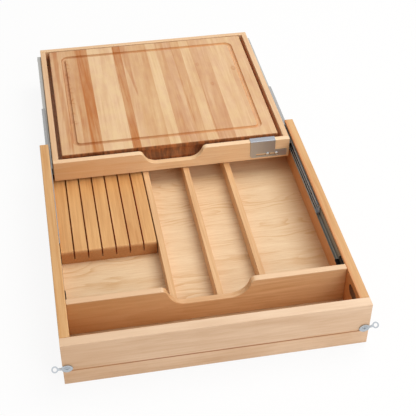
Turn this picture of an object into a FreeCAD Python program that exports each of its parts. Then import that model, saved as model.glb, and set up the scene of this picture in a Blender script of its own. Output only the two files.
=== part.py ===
import FreeCAD, Part
import math
import os

V = FreeCAD.Vector
along = V(0, 1, 0)
upward = V(0, 0, 1)
outward = V(1, 0, 0)
inward = V(-1, 0, 0)
forward = V(0, -1, 0)

# Knife and cutting board drawer, in millimetres.
# X runs across the drawer, Y from its face to its rear, Z up.
# The origin is at the foot of the front rail: midway across and midway through its thickness.

# Drawer box
drawer_width = 543.0
drawer_depth = 559.3
side_thick = 18.0
front_thick = 19.5
rail_height = 33.8
rail_short = 0.6          # the rail ends this far inside the upper board's ends
joint_chamfer = 1.2       # eased edges along the level joint of the face
edge_round = 1.5          # eased top edges of the box
back_thick = 18.0

# Floor and lanes
floor_lift = 12.5
floor_thick = 6.0
floor_groove = 6.0        # how far the floor runs into the sides and the rail
front_room = 75.0         # clear depth of the front compartment
divider_thick = 12.7
lane_wall_thick = 12.0
lane_wall_height = 31.0
lane_dado = 3.0           # how far a lane wall runs into the divider and the back
right_lane = 135.0        # clear widths of the lanes, from the right side
middle_lane = 75.1
left_lane = 73.4          # beside the knife block

# Scoop in the cross divider
divider_scoop_flat = 40.0
divider_scoop_rise = 42.5     # its lowest point above the drawer's floor
divider_scoop_low_radius = 36.0
divider_scoop_high_radius = 12.5

# Hand holes in the sides, beside the front compartment
hand_hole_length = 42.0
hand_hole_height = 21.0
hand_hole_below_rim = 25.8
hand_hole_behind_front = 34.5

# Knife block
block_length = 264.5
block_height = 28.5
block_wall_gap = 1.0
block_lane_gap = 2.0
block_nose_round = 7.0
knife_slots = 6
knife_slot_pitch = 26.8
knife_slot_first = 25.0
knife_slot_wide = 2.6
knife_slot_deep = 18.0

# Tray that runs on the slides
tray_run_gap = 1.9            # over the lane walls
tray_front_gap = 4.8          # behind the divider when closed
tray_behind = 7.9             # from the tray's back to the box's rear end when closed
tray_open = 380.0             # how far it stands open at rest
tray_side_thick = 12.0
tray_front_thick = 12.0
tray_back_thick = 11.3
tray_floor_up = 3.0
tray_floor_thick = 5.0
tray_floor_groove = 5.0
tray_below_rim = 0.2
tray_edge_round = 1.2
tray_scoop_flat = 34.0
tray_scoop_rise = 18.6        # its lowest point above the tray's lower edge
tray_scoop_low_radius = 29.0
tray_scoop_high_radius = 11.2

# Cutting board
board_thick = 38.0
board_side_gap = 7.9
board_front_gap = 11.5
board_back_gap = 2.1
board_corner_round = 4.0
board_edge_round = 2.5
juice_inset = 31.0
juice_radius = 5.0
juice_corner = 12.0
cove_half_length = 92.0
cove_radius = 11.0
cove_bite = 8.0
cove_above_foot = 19.0

# Ball bearing slides, measured outwards from the tray's side
slide_thick = 12.7
slide_height = 35.0
slide_fit = 0.5               # play above and below the member in its groove
slide_front_gap = 0.8
slide_rear_gap = 1.3
slide_in_side = 7.6           # depth of the groove in the box's side
sheet = 1.2
outer_lip = 5.0
outer_bend = 2.6
middle_half_height = 12.4
middle_web = 11.1
middle_lip = 3.5
middle_bend = 2.2
middle_short = 44.0
middle_open = 148.0           # how far it stands open at rest
inner_half_height = 8.6
inner_lip = 8.5
inner_bend = 2.0
inner_front_set = 4.5
inner_rear_set = 6.4
inner_tab = 9.0
slide_screw_set = 37.0        # first and last screw from the member's ends
slide_screws = 3
ball_play = 0.25
outer_balls = 8
outer_cage_length = 220.0
outer_cage_set = 18.0
outer_cage_sheet = 1.0
inner_balls = 6
inner_cage_length = 162.0
inner_cage_set = 21.8
inner_cage_sheet = 0.8
cage_wide = 4.8
cage_hole_play = 0.12
part_play = 0.35              # running clearance of the plastic pieces
end_piece_wall = 4.5
end_piece_set = 0.5
end_piece_body = 29.5
bumper_length = 12.0

# Latch plate on the tray's front
latch_sheet = 1.5
latch_play = 0.3
latch_hook = 12.0
latch_end_set = 5.9           # its arm ends this far inside the tray's right end
latch_arm_long = 25.5
latch_plate_wide = 53.5
latch_foot_up = 5.6
latch_arm_high = 16.1
latch_corner = 7.0
latch_bend = 1.3
latch_slot_in = 12.0          # the slot's left end from the plate's left edge
latch_slot_long = 48.3
latch_slot_up = 7.3
latch_screw_sets = (46.8, 27.6)     # the screws from the tray's right end
latch_head_radius = 4.0
latch_head_high = 2.2
latch_shank_radius = 2.0
latch_screw_length = 9.0

# Eye brackets on the face
bracket_in_left = 7.6         # screw from the left end of the face
bracket_in_right = 9.4
bracket_up_left = 8.1         # screw above the joint line
bracket_up_right = 7.0
bracket_tilt_left = 3.0
bracket_tilt_right = 11.0
bracket_sheet = 2.0
bracket_gap = 0.3
bracket_half_long = 10.0
bracket_half_high = 8.5
bracket_neck = 4.6
bracket_reach = 20.6          # from the screw to the eye's centre
bracket_turn = 45.0           # the eye's face is turned up by this angle
bracket_flat = 1.5            # flat neck before it twists
bracket_lead = 0.6            # straight neck after it twists
eye_outer = 5.9
eye_inner = 3.4
bracket_head_radius = 4.6
bracket_head_deep = 1.8
bracket_shank_radius = 2.1
bracket_screw_length = 15.0

# Hidden fasteners
dowel_radius = 4.0
dowel_length = 30.0
dowel_in_front = 12.0
dowel_play = 0.1
dowel_below_rim = 8.6
dowel_middle_up = 53.0
dowel_rail_up = 26.0
rail_dowel_x = 200.0
rail_dowel_length = 24.0
tray_dowel_radius = 3.0
tray_dowel_length = 22.0
tray_dowel_in_front = 8.0
tray_dowel_end_set = 10.0     # below the tray's rim, and above the board's bed
wood_screw_radius = 1.9
wood_screw_head = 3.6
wood_screw_deep = 30.0
outer_screw_head = 3.4
outer_screw_length = 8.6
inner_screw_head = 3.4
inner_screw_high = 1.6
inner_screw_length = 9.5
screw_play = 0.1
recess_wide = 1.1
recess_share = 0.62           # cross recess length as a share of the head's width
recess_deep = 1.3
pan_round = 0.6               # rounding of a pan head as a share of its height
past = 1.0                    # how far a cutter runs past the face it opens
near = 0.01                   # two places closer than this are one

# Places that follow from the sizes
half_width = drawer_width / 2
inner_x = half_width - side_thick
face_y = -front_thick / 2
front_rear_y = face_y + front_thick
rear_y = face_y + drawer_depth
back_front_y = rear_y - back_thick
floor_top = floor_lift + floor_thick
divider_front_y = front_rear_y + front_room
divider_rear_y = divider_front_y + divider_thick
lane_top = floor_top + lane_wall_height
lane_right_x = inner_x - right_lane - lane_wall_thick / 2
lane_middle_x = lane_right_x - middle_lane - lane_wall_thick
lane_left_x = lane_middle_x - left_lane - lane_wall_thick
tray_foot = lane_top + tray_run_gap
tray_height = tray_floor_up + tray_floor_thick + board_thick
tray_top = tray_foot + tray_height
rim = tray_top + tray_below_rim
tray_x = inner_x + slide_in_side - slide_thick
tray_inner_x = tray_x - tray_side_thick
tray_closed_y = divider_rear_y + tray_front_gap
tray_depth = drawer_depth - (tray_closed_y - face_y) - tray_behind
tray_front_y = tray_closed_y + tray_open
tray_front_rear_y = tray_front_y + tray_front_thick
tray_rear_y = tray_front_y + tray_depth
tray_back_front_y = tray_rear_y - tray_back_thick
tray_floor_z = tray_foot + tray_floor_up
board_foot = tray_floor_z + tray_floor_thick
board_x = tray_inner_x - board_side_gap
board_front_y = tray_front_rear_y + board_front_gap
board_rear_y = tray_back_front_y - board_back_gap
slide_z = tray_foot + tray_height / 2
outer_front_y = divider_rear_y + slide_front_gap
outer_rear_y = rear_y - slide_rear_gap
middle_front_y = outer_front_y + middle_short + middle_open
middle_rear_y = outer_rear_y + middle_open
inner_front_y = tray_front_y + inner_front_set
inner_rear_y = tray_rear_y - inner_rear_set
slide_half = slide_height / 2
outer_web = slide_thick - sheet
latch_rear_y = tray_front_y - latch_play
latch_front_y = latch_rear_y - latch_sheet
latch_arm_right = tray_x - latch_end_set
latch_plate_right = latch_arm_right - latch_arm_long
latch_plate_left = latch_plate_right - latch_plate_wide
latch_slot_left = latch_plate_left + latch_slot_in
latch_slot_right = latch_slot_left + latch_slot_long
latch_screw_places = [tray_x - latch_screw_set for latch_screw_set in latch_screw_sets]
latch_foot = tray_foot + latch_foot_up
latch_slot_z = latch_foot + latch_slot_up
latch_roof = tray_top + latch_play


def box(x0, x1, y0, y1, z0, z1):
    # A block between two corners
    return Part.makeBox(x1 - x0, y1 - y0, z1 - z0, V(x0, y0, z0))


def rod(radius, start, direction, length):
    return Part.makeCylinder(radius, length, start, direction)


def one_solid(shape):
    # The single body of a boolean result, with its split faces joined
    return shape.removeSplitter().Solids[0]


def mirrored(shape):
    # The same piece on the other side of the drawer
    return shape.mirror(V(0, 0, 0), V(1, 0, 0))


def is_at(value, place):
    return abs(value - place) < near


def edges_where(shape, test):
    return [edge for edge in shape.Edges if test(edge.BoundBox)]


def turned_arc(centre, radius, start, end):
    # An arc in the XZ plane, with its angles in degrees from +X towards +Z
    points = []
    for angle in (start, (start + end) / 2, end):
        turn = math.radians(angle)
        points.append(centre + V(radius * math.cos(turn), 0, radius * math.sin(turn)))
    return Part.Arc(*points).toShape()


def scoop(y0, y1, top, low, flat, low_radius, high_radius):
    # A finger scoop: a flat foot, a hollow curve each side, and a round shoulder into the rim
    y = y0 - past
    rise = (top - high_radius) - (low + low_radius)
    reach = math.sqrt((low_radius + high_radius) ** 2 - rise ** 2)
    slope = math.degrees(math.atan2(rise, reach))
    edge = flat + reach
    foot = V(flat, y, low + low_radius)
    shoulder = V(edge, y, top - high_radius)
    foot_left = V(-flat, y, low + low_radius)
    shoulder_left = V(-edge, y, top - high_radius)
    lid = top + past
    edges = [
        Part.makeLine(V(-flat, y, low), V(flat, y, low)),
        turned_arc(foot, low_radius, -90, slope),
        turned_arc(shoulder, high_radius, 180 + slope, 90),
        Part.makeLine(V(edge, y, top), V(edge, y, lid)),
        Part.makeLine(V(edge, y, lid), V(-edge, y, lid)),
        Part.makeLine(V(-edge, y, lid), V(-edge, y, top)),
        turned_arc(shoulder_left, high_radius, 90, -slope),
        turned_arc(foot_left, low_radius, 180 - slope, 270),
    ]
    wire = Part.Wire(Part.__sortEdges__(edges))
    return Part.Face(wire).extrude(V(0, y1 - y0 + 2 * past, 0))


def cross_recess(top, direction, head_radius):
    # A cross cut into a screw head, as a shape to take away
    arm = head_radius * 2 * recess_share
    bars = []
    for long_x, long_y in ((arm, recess_wide), (recess_wide, arm)):
        corner = V(-long_x / 2, -long_y / 2, -recess_deep)
        bars.append(Part.makeBox(long_x, long_y, recess_deep + past, corner))
    cross = bars[0].fuse(bars[1])
    cross.Placement = FreeCAD.Placement(top, FreeCAD.Rotation(V(0, 0, 1), direction))
    return cross


def flat_screw(top, direction, head_radius, head_deep, shank_radius, length):
    # A countersunk screw: top is the middle of its head, direction points out of the work
    down = direction * -1
    head = Part.makeCone(head_radius, shank_radius, head_deep, top, down)
    shank = rod(shank_radius, top + down * head_deep, down, length - head_deep)
    return one_solid(head.fuse(shank))


def pan_screw(seat, direction, head_radius, head_high, shank_radius, length):
    # A pan head screw: seat is where its head meets the work
    head = rod(head_radius, seat, direction, head_high)
    crown = edges_where(head, lambda b: is_at((b.Center - seat).dot(direction), head_high))
    head = head.makeFillet(head_high * pan_round, crown)
    shank = rod(shank_radius, seat, direction * -1, length)
    return one_solid(head.fuse(shank))


# Fastener places
def front_dowels():
    # Dowels that join the face to the front ends of the sides
    heights = (dowel_rail_up, dowel_middle_up, rim - dowel_below_rim)
    return [V(side * (half_width - side_thick / 2), front_rear_y - dowel_in_front, z)
            for side in (-1, 1) for z in heights]


def rail_dowels():
    # Upright dowels between the rail and the upper board
    return [V(x, 0, rail_height - rail_dowel_length / 2) for x in (-rail_dowel_x, 0, rail_dowel_x)]


def back_screws():
    # Screws through the sides into the ends of the back
    height = floor_top + lane_wall_height / 2
    return [(V(side * half_width, rear_y - back_thick / 2, height), V(side, 0, 0)) for side in (-1, 1)]


def tray_dowels():
    # Dowels that join the tray's front and back to its sides
    places = []
    for side in (-1, 1):
        for z in (board_foot + tray_dowel_end_set, tray_top - tray_dowel_end_set):
            x = side * (tray_x - tray_side_thick / 2)
            places.append(V(x, tray_front_rear_y - tray_dowel_in_front, z))
            places.append(V(x, tray_back_front_y + tray_dowel_in_front - tray_dowel_length, z))
    return places


def dowel_set(places, radius, direction, length):
    return [rod(radius, place, direction, length) for place in places]


def bracket_place(side):
    # Middle of the bracket's screw on the face
    if side < 0:
        return V(-half_width + bracket_in_left, face_y, rail_height + bracket_up_left)
    return V(half_width - bracket_in_right, face_y, rail_height + bracket_up_right)


def screw_rows(front, rear):
    # Even places for the screws of a slide member
    step = (rear - front - 2 * slide_screw_set) / (slide_screws - 1)
    return [front + slide_screw_set + step * i for i in range(slide_screws)]


front_dowel_holes = dowel_set(front_dowels(), dowel_radius + dowel_play, along, dowel_length)
rail_dowel_holes = dowel_set(rail_dowels(), dowel_radius + dowel_play, upward, rail_dowel_length)
tray_dowel_holes = dowel_set(tray_dowels(), tray_dowel_radius + dowel_play, along, tray_dowel_length)
nodes = {}


# Drawer box
def drawer_front():
    board = box(-half_width, half_width, face_y, front_rear_y, rail_height, rim)
    top_edges = edges_where(board, lambda b: is_at(b.ZMin, rim) and b.XLength > b.YLength)
    board = board.makeFillet(edge_round, top_edges)
    foot_edges = edges_where(board, lambda b: is_at(b.ZMax, rail_height) and is_at(b.YMax, face_y))
    board = board.makeChamfer(joint_chamfer, foot_edges)
    for side in (-1, 1):
        pilot = rod(bracket_shank_radius + screw_play, bracket_place(side), along, bracket_screw_length)
        board = board.cut(pilot)
    return one_solid(board.cut(front_dowel_holes + rail_dowel_holes))


def drawer_front_rail():
    end = half_width - rail_short
    rail = box(-end, end, face_y, front_rear_y, 0, rail_height)
    edges = edges_where(rail, lambda b: is_at(b.ZMin, rail_height) and is_at(b.YMax, face_y))
    rail = rail.makeChamfer(joint_chamfer, edges)
    groove = box(-inner_x - floor_groove, inner_x + floor_groove, front_rear_y - floor_groove,
                 front_rear_y + past, floor_lift, floor_top)
    return one_solid(rail.cut([groove] + front_dowel_holes + rail_dowel_holes))


def hand_hole():
    # The oval hole through the right side, as a shape to take away
    radius = hand_hole_height / 2
    z = rim - hand_hole_below_rim
    y0 = front_rear_y + hand_hole_behind_front - hand_hole_length / 2 + radius
    y1 = y0 + hand_hole_length - hand_hole_height
    start = inner_x - past
    reach = side_thick + 2 * past
    ends = [rod(radius, V(start, y, z), outward, reach) for y in (y0, y1)]
    return box(start, start + reach, y0, y1, z - radius, z + radius).fuse(ends)


def slide_groove():
    # The groove that holds the slide, open at the rear end
    half = slide_half + slide_fit
    return box(inner_x - past, inner_x + slide_in_side, outer_front_y - slide_fit, rear_y + past,
               slide_z - half, slide_z + half)


def drawer_side():
    # The right side of the box
    side = box(inner_x, half_width, front_rear_y, rear_y, 0, rim)
    edges = edges_where(side, lambda b: is_at(b.ZMin, rim) and b.YLength > b.XLength)
    side = side.makeFillet(edge_round, edges)
    floor_slot = box(inner_x - past, inner_x + floor_groove, front_rear_y - past, rear_y + past,
                     floor_lift, floor_top)
    cuts = [hand_hole(), slide_groove(), floor_slot]
    cuts += front_dowel_holes
    for y in screw_rows(outer_front_y, outer_rear_y):
        start = V(tray_x + slide_thick, y, slide_z)
        cuts.append(rod(wood_screw_radius + screw_play, start, outward, outer_screw_length))
    for top, direction in back_screws():
        cuts.append(flat_screw(top, direction, wood_screw_head, wood_screw_radius,
                               wood_screw_radius + screw_play, wood_screw_deep))
    return one_solid(side.cut(cuts))


def drawer_back():
    back = box(-inner_x, inner_x, back_front_y, rear_y, floor_top, lane_top)
    cuts = []
    for x in (lane_left_x, lane_middle_x, lane_right_x):
        cuts.append(box(x - lane_wall_thick / 2, x + lane_wall_thick / 2, back_front_y - past,
                        back_front_y + lane_dado, floor_top - past, lane_top + past))
    for top, direction in back_screws():
        cuts.append(rod(wood_screw_radius + screw_play, top, direction * -1, wood_screw_deep))
    return one_solid(back.cut(cuts))


def drawer_bottom():
    return box(-inner_x - floor_groove, inner_x + floor_groove, front_rear_y - floor_groove, rear_y,
               floor_lift, floor_top)


def cross_divider():
    wall = box(-inner_x, inner_x, divider_front_y, divider_rear_y, floor_top, rim)
    wall = wall.cut(scoop(divider_front_y, divider_rear_y, rim, floor_top + divider_scoop_rise,
                          divider_scoop_flat, divider_scoop_low_radius, divider_scoop_high_radius))
    edges = edges_where(wall, lambda b: b.ZMin > floor_top + past and b.YLength < near and b.XLength > near)
    wall = wall.makeFillet(edge_round, edges)
    for x in (lane_left_x, lane_middle_x, lane_right_x):
        wall = wall.cut(box(x - lane_wall_thick / 2, x + lane_wall_thick / 2, divider_rear_y - lane_dado,
                            divider_rear_y + past, floor_top - past, lane_top))
    return one_solid(wall)


def lane_wall(x):
    # A partition between two lanes, let into the divider and the back
    wall = box(x - lane_wall_thick / 2, x + lane_wall_thick / 2, divider_rear_y - lane_dado,
               back_front_y + lane_dado, floor_top, lane_top)
    return wall


def knife_block():
    left = -inner_x + block_wall_gap
    right = lane_left_x - lane_wall_thick / 2 - block_lane_gap
    nose = back_front_y - block_length
    block = box(left, right, nose, back_front_y, floor_top, floor_top + block_height)
    edges = edges_where(block, lambda b: is_at(b.ZMin, floor_top + block_height) and is_at(b.YMax, nose))
    block = block.makeFillet(block_nose_round, edges)
    top = floor_top + block_height
    for i in range(knife_slots):
        x = left + knife_slot_first + knife_slot_pitch * i
        block = block.cut(box(x - knife_slot_wide / 2, x + knife_slot_wide / 2, nose - past,
                              back_front_y + past, top - knife_slot_deep, top + past))
    return one_solid(block)


# Ball bearing slide on the right side
def slide_bar(back, mouth, half_height, bend, front, rear):
    # A bar between two distances from the tray's side, with the two long edges at its back rounded
    low, high = sorted((back, mouth))
    bar = box(tray_x + low, tray_x + high, front, rear, slide_z - half_height, slide_z + half_height)
    edge_x = tray_x + back
    edges = edges_where(bar, lambda b: is_at(b.XMin, edge_x) and is_at(b.XMax, edge_x)
                        and b.YLength > b.ZLength)
    return bar.makeFillet(bend, edges)


def channel(web, lip, half_height, bend, front, rear):
    # A sheet channel on its side: web is its back face and lip is where its two flanges end
    way = 1 if lip > web else -1
    bar = slide_bar(web, lip, half_height, bend, front, rear)
    hollow = slide_bar(web + way * sheet, lip + way * past, half_height - sheet, bend - sheet,
                       front - past, rear + past)
    return one_solid(bar.cut(hollow))


def outer_screw(y, grow):
    # A flush screw through the outer member's web, grown by its play when it cuts a hole
    top = V(tray_x + outer_web, y, slide_z)
    return flat_screw(top, inward, outer_screw_head + grow, sheet, wood_screw_radius + grow,
                      outer_screw_length + sheet)


def slide_outer():
    member = channel(slide_thick, outer_lip, slide_half, outer_bend, outer_front_y, outer_rear_y)
    holes = [outer_screw(y, screw_play) for y in screw_rows(outer_front_y, outer_rear_y)]
    return one_solid(member.cut(holes))


def slide_middle():
    return channel(middle_web, middle_lip, middle_half_height, middle_bend, middle_front_y, middle_rear_y)


def slide_inner():
    member = channel(0, inner_lip, inner_half_height, inner_bend, inner_front_y, inner_rear_y)
    tab = box(tray_x, tray_x + inner_tab, inner_rear_y - sheet, inner_rear_y, slide_z - inner_half_height / 2,
              slide_z + inner_half_height / 2)
    holes = [rod(wood_screw_radius + screw_play, V(tray_x - past, y, slide_z), outward, sheet + 2 * past)
             for y in screw_rows(inner_front_y, inner_rear_y)]
    return one_solid(member.fuse(tab).cut(holes))


def slide_end_piece():
    # The black plastic stop inside the front end of the outer member
    low = outer_lip + part_play
    high = outer_web
    front = outer_front_y + end_piece_set
    half = slide_half - sheet - part_play / 2
    end_bend = outer_bend - sheet
    body = slide_bar(high, low, half, end_bend, front, front + end_piece_body)
    way = inner_half_height + part_play
    body = body.cut(box(tray_x + low - past, tray_x + inner_lip + part_play, front + end_piece_wall,
                        front + end_piece_body + past, slide_z - way, slide_z + way))
    # Two arms reach back beside the middle member's nose
    arm_end = outer_front_y + middle_short - part_play
    arm_in = middle_half_height + part_play
    for side in (-1, 1):
        low_z, high_z = sorted((slide_z + side * arm_in, slide_z + side * half))
        body = body.fuse(box(tray_x + low, tray_x + high - end_bend, front + end_piece_body - past, arm_end,
                             low_z, high_z))
    return one_solid(body)


def slide_bumper():
    # The plastic nose on the front end of the middle member
    nose = middle_front_y - bumper_length
    bumper = slide_bar(middle_web, middle_lip, middle_half_height, middle_bend, nose, middle_front_y)
    way = inner_half_height + part_play
    return one_solid(bumper.cut(box(tray_x + middle_lip - past, tray_x + inner_lip + part_play, nose - past,
                                    middle_front_y + past, slide_z - way, slide_z + way)))


def ball_row(front, length, count):
    step = length / count
    return [front + step * (i + 0.5) for i in range(count)]


def ball_cage(front, length, count, gap_low, gap_high, u, strip_sheet):
    # Two strips with a hole for each ball, and the balls, between two nested flanges
    radius = (gap_high - gap_low) / 2 - ball_play
    strips = []
    balls = []
    for side in (-1, 1):
        z = slide_z + side * (gap_low + gap_high) / 2
        strip = box(tray_x + u - cage_wide / 2, tray_x + u + cage_wide / 2, front, front + length,
                    z - strip_sheet / 2, z + strip_sheet / 2)
        for y in ball_row(front, length, count):
            centre = V(tray_x + u, y, z)
            below = centre - upward * strip_sheet
            strip = strip.cut(rod(radius + cage_hole_play, below, upward, 2 * strip_sheet))
            balls.append(Part.makeSphere(radius, centre))
        strips.append(strip)
    return Part.makeCompound(strips), Part.makeCompound(balls)


def outer_cage():
    u = (outer_lip + middle_web) / 2
    return ball_cage(middle_front_y + outer_cage_set, outer_cage_length, outer_balls,
                     middle_half_height, slide_half - sheet, u, outer_cage_sheet)


def inner_cage():
    u = (middle_lip + inner_lip) / 2
    return ball_cage(inner_front_y + inner_cage_set, inner_cage_length, inner_balls,
                     inner_half_height, middle_half_height - sheet, u, inner_cage_sheet)


# Tray
def tray_front():
    wall = box(-tray_x, tray_x, tray_front_y, tray_front_rear_y, tray_foot, tray_top)
    wall = wall.cut(scoop(tray_front_y, tray_front_rear_y, tray_top, tray_foot + tray_scoop_rise,
                          tray_scoop_flat, tray_scoop_low_radius, tray_scoop_high_radius))
    edges = edges_where(wall, lambda b: b.ZMin > tray_foot + past and b.YLength < near and b.XLength > near)
    wall = wall.makeFillet(tray_edge_round, edges)
    cuts = [tray_floor(tray_floor_groove)] + tray_dowel_holes
    for x in latch_screw_places:
        cuts.append(rod(latch_shank_radius + screw_play, V(x, tray_front_y, latch_slot_z), along,
                        latch_screw_length))
    return one_solid(wall.cut(cuts))


def tray_floor(groove):
    # The board's bed, let into all four walls
    return box(-tray_inner_x - groove, tray_inner_x + groove, tray_front_rear_y - groove,
               tray_back_front_y + groove, tray_floor_z, board_foot)


def tray_side():
    wall = box(tray_inner_x, tray_x, tray_front_rear_y, tray_back_front_y, tray_foot, tray_top)
    edges = edges_where(wall, lambda b: is_at(b.ZMin, tray_top) and b.YLength > b.XLength)
    wall = wall.makeFillet(tray_edge_round, edges)
    cuts = [tray_floor(tray_floor_groove)] + tray_dowel_holes
    for y in screw_rows(inner_front_y, inner_rear_y):
        cuts.append(rod(wood_screw_radius + screw_play, V(tray_x, y, slide_z), inward, inner_screw_length))
    return one_solid(wall.cut(cuts))


def tray_back():
    wall = box(-tray_x, tray_x, tray_back_front_y, tray_rear_y, tray_foot, tray_top)
    edges = edges_where(wall, lambda b: is_at(b.ZMin, tray_top) and b.XLength > b.YLength)
    wall = wall.makeFillet(tray_edge_round, edges)
    return one_solid(wall.cut([tray_floor(tray_floor_groove)] + tray_dowel_holes))


# Cutting board
def juice_groove():
    # A round-bottomed groove along a rectangle with round corners, as shapes to take away
    x = board_x - juice_inset
    y0 = board_front_y + juice_inset
    y1 = board_rear_y - juice_inset
    z = tray_top
    turn = juice_corner
    cuts = [
        rod(juice_radius, V(-x + turn, y0, z), outward, 2 * (x - turn)),
        rod(juice_radius, V(-x + turn, y1, z), outward, 2 * (x - turn)),
        rod(juice_radius, V(-x, y0 + turn, z), along, y1 - y0 - 2 * turn),
        rod(juice_radius, V(x, y0 + turn, z), along, y1 - y0 - 2 * turn),
    ]
    corners = ((x - turn, y1 - turn), (-x + turn, y1 - turn), (-x + turn, y0 + turn), (x - turn, y0 + turn))
    for quarter, (cx, cy) in enumerate(corners):
        ring = Part.makeTorus(turn, juice_radius, V(0, 0, 0), upward, 0, 360, 90)
        ring.rotate(V(0, 0, 0), upward, 90 * quarter)
        ring.translate(V(cx, cy, z))
        cuts.append(ring)
    return cuts


def finger_cove():
    # A hollow along the board's front edge, with round ends, to lift the board by
    z = board_foot + cove_above_foot
    y = board_front_y + cove_bite - cove_radius
    bar = rod(cove_radius, V(-cove_half_length, y, z), outward, 2 * cove_half_length)
    ends = [Part.makeSphere(cove_radius, V(side * cove_half_length, y, z)) for side in (-1, 1)]
    return bar.fuse(ends)


def cutting_board():
    board = box(-board_x, board_x, board_front_y, board_rear_y, board_foot, tray_top)
    board = board.makeFillet(board_corner_round, edges_where(board, lambda b: b.ZLength > board_thick / 2))
    board = board.makeFillet(board_edge_round, edges_where(board, lambda b: is_at(b.ZMin, tray_top)))
    for cut in juice_groove():
        board = board.cut(cut)
    return one_solid(board.cut(finger_cove()))


# Latch on the tray's front
def latch_slot():
    radius = latch_shank_radius + latch_play
    left = latch_slot_left + radius
    right = latch_slot_right - radius
    start = latch_front_y - past
    deep = latch_sheet + 2 * past
    ends = [rod(radius, V(x, start, latch_slot_z), along, deep) for x in (left, right)]
    return box(left, right, start, start + deep, latch_slot_z - radius, latch_slot_z + radius).fuse(ends)


def latch_plate():
    # A plate with an arm low on its right and a hook folded over the tray's rim
    plate = box(latch_plate_left, latch_plate_right, latch_front_y, latch_rear_y, latch_foot,
                latch_roof + latch_sheet)
    plate = plate.fuse(box(latch_plate_left, latch_plate_right, latch_front_y, latch_rear_y + latch_hook,
                           latch_roof, latch_roof + latch_sheet))
    plate = plate.fuse(box(latch_plate_right - past, latch_arm_right, latch_front_y, latch_rear_y, latch_foot,
                           latch_foot + latch_arm_high))
    plate = plate.removeSplitter()
    corner = edges_where(plate, lambda b: is_at(b.XMax, latch_plate_left) and is_at(b.ZMax, latch_foot)
                         and b.YLength > past)
    plate = plate.makeFillet(latch_corner, corner)
    crown = latch_roof + latch_sheet
    bend = edges_where(plate, lambda b: is_at(b.YMax, latch_front_y) and is_at(b.ZMin, crown))
    plate = plate.makeFillet(latch_bend, bend)
    return one_solid(plate.cut(latch_slot()))


def latch_screws():
    screws = []
    for x in latch_screw_places:
        seat = V(x, latch_front_y - latch_play / 2, latch_slot_z)
        screw = pan_screw(seat, forward, latch_head_radius, latch_head_high, latch_shank_radius,
                          latch_sheet + latch_play * 1.5 + latch_screw_length)
        screws.append(screw.cut(cross_recess(seat + forward * latch_head_high, forward, latch_head_radius)))
    return Part.makeCompound(screws)


# Eye brackets on the face
def bracket_screw(side, grow):
    top = bracket_place(side) + forward * (bracket_gap + bracket_sheet)
    return flat_screw(top, forward, bracket_head_radius + grow, bracket_head_deep,
                      bracket_shank_radius + grow, bracket_gap + bracket_sheet + bracket_screw_length)


def finished_bracket_screw(side):
    top = bracket_place(side) + forward * (bracket_gap + bracket_sheet)
    return bracket_screw(side, 0).cut(cross_recess(top, forward, bracket_head_radius))


def neck_section(x, turn):
    # The neck's oblong section at x, turned about its own middle line
    half_z = bracket_neck / 2
    half_y = bracket_sheet / 2
    corners = [V(x, -half_y, -half_z), V(x, half_y, -half_z), V(x, half_y, half_z), V(x, -half_y, half_z)]
    wire = Part.makePolygon(corners + [corners[0]])
    wire.rotate(V(0, 0, 0), outward, turn)
    return wire


def bracket(side, tilt):
    # A lens-shaped plate, a neck that twists, and an eye whose face looks up
    half_sheet = bracket_sheet / 2
    tip = V(bracket_half_long, 0, 0)
    crest = V(0, 0, bracket_half_high)
    upper = Part.Arc(tip, crest, tip * -1).toShape()
    lower = Part.Arc(tip * -1, crest * -1, tip).toShape()
    lens = Part.Wire([upper, lower])
    plate = Part.Face(lens).extrude(V(0, bracket_sheet, 0))
    plate.translate(V(0, -half_sheet, 0))
    twist_start = bracket_half_long + bracket_flat
    twist_end = bracket_reach - eye_outer - bracket_lead
    half_neck = bracket_neck / 2
    strap = box(bracket_half_long - bracket_neck, twist_start, -half_sheet, half_sheet, -half_neck, half_neck)
    twist = Part.makeLoft([neck_section(twist_start, 0), neck_section(twist_end, -bracket_turn)], True, True)
    eye = rod(eye_outer, V(bracket_reach, -half_sheet, 0), along, bracket_sheet)
    root = box(twist_end, bracket_reach, -half_sheet, half_sheet, -half_neck, half_neck)
    eye = eye.fuse(root).cut(rod(eye_inner, V(bracket_reach, -half_sheet - past, 0), along,
                                 bracket_sheet + 2 * past))
    eye.rotate(V(0, 0, 0), outward, -bracket_turn)
    whole = one_solid(plate.fuse([strap, twist, eye]))
    if side < 0:
        whole = mirrored(whole)
    place = bracket_place(side) + forward * (bracket_gap + half_sheet)
    whole.rotate(V(0, 0, 0), V(0, -side, 0), tilt)
    whole.translate(place)
    return one_solid(whole.cut(bracket_screw(side, bracket_gap)))


def inner_screws():
    seats = [V(tray_x + sheet, y, slide_z) for y in screw_rows(inner_front_y, inner_rear_y)]
    return [pan_screw(seat, outward, inner_screw_head, inner_screw_high, wood_screw_radius,
                      sheet + inner_screw_length) for seat in seats]


def wood_screws(places):
    return [flat_screw(top, direction, wood_screw_head - screw_play, wood_screw_radius, wood_screw_radius,
                       wood_screw_deep) for top, direction in places]


nodes["drawer_front"] = drawer_front()
nodes["drawer_front_rail"] = drawer_front_rail()
nodes["drawer_side_right"] = drawer_side()
nodes["drawer_side_left"] = mirrored(nodes["drawer_side_right"])
nodes["drawer_back"] = drawer_back()
nodes["drawer_bottom"] = drawer_bottom()
nodes["cross_divider"] = cross_divider()
nodes["partition_left"] = lane_wall(lane_left_x)
nodes["partition_middle"] = lane_wall(lane_middle_x)
nodes["partition_right"] = lane_wall(lane_right_x)
nodes["knife_block"] = knife_block()
nodes["tray_front"] = tray_front()
nodes["tray_side_right"] = tray_side()
nodes["tray_side_left"] = mirrored(nodes["tray_side_right"])
nodes["tray_back"] = tray_back()
nodes["tray_bottom"] = tray_floor(tray_floor_groove)
nodes["cutting_board"] = cutting_board()
nodes["latch_plate"] = latch_plate()
nodes["latch_screws"] = latch_screws()

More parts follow.
